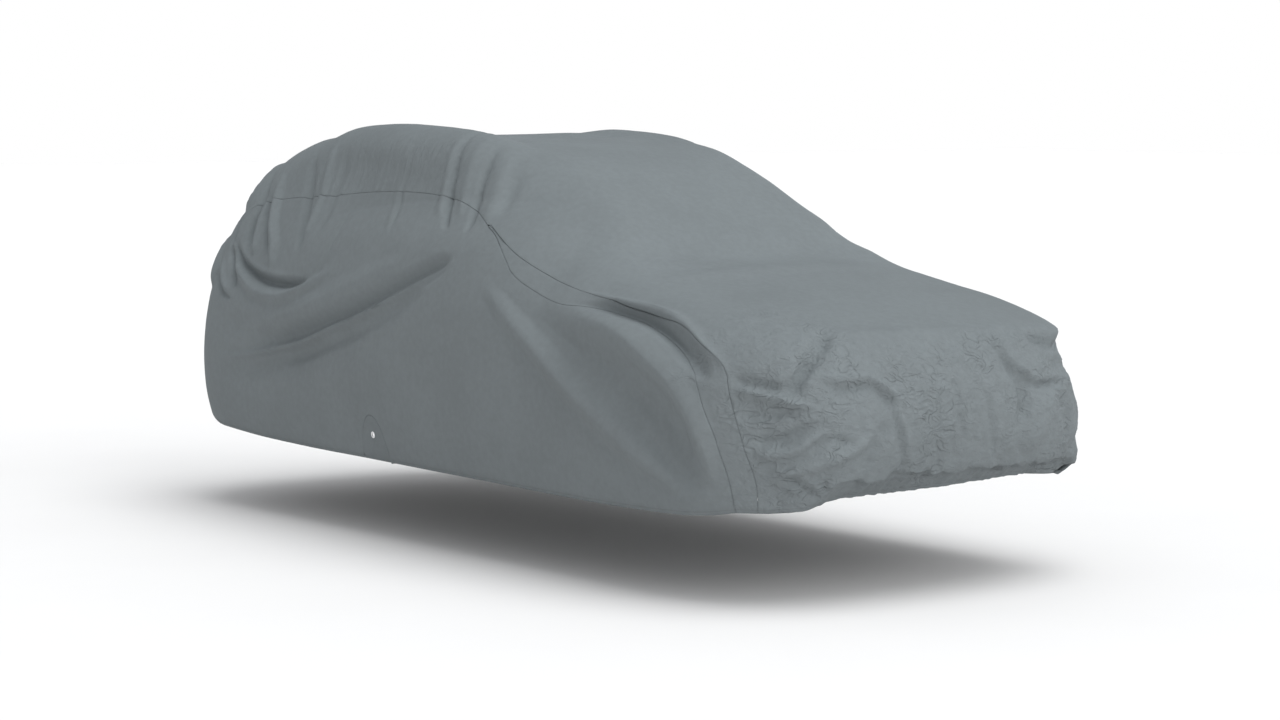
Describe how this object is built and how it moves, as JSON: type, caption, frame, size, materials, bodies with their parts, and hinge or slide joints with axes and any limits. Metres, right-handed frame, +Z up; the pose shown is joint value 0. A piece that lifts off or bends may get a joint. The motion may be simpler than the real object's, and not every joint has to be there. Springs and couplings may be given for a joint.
{
  "type": "fitted car cover",
  "caption": "Fitted outdoor car cover in grey nonwoven cloth, hollow, cut in panels, with corner gussets, gathered end hems and eyelets.",
  "frame": {"origin": "the mount under the roof: a point of the roof's inner face, in the middle of the width, 0.60 m behind the middle of the length", "axes": "+X forward along the length, +Y to the cover's left, +Z up"},
  "size_m": [4.491, 2.0063, 1.4268],
  "materials": {
    "cover_cloth": "matt bluish grey nonwoven, finely mottled",
    "patch_cloth": "the same cloth doubled, with a stitched edge",
    "eyelet_metal": "bright plated metal, lightly dulled"
  },
  "bodies": {
    "root": {"top_panel": "cover_cloth", "side_panel_right": "cover_cloth", "side_panel_left": "cover_cloth", "front_gusset_right": "cover_cloth", "front_gusset_left": "cover_cloth", "eyelet_patch_right": "patch_cloth", "eyelet_patch_left": "patch_cloth", "eyelet_right": "eyelet_metal", "eyelet_left": "eyelet_metal"}
  },
  "joints": []
}
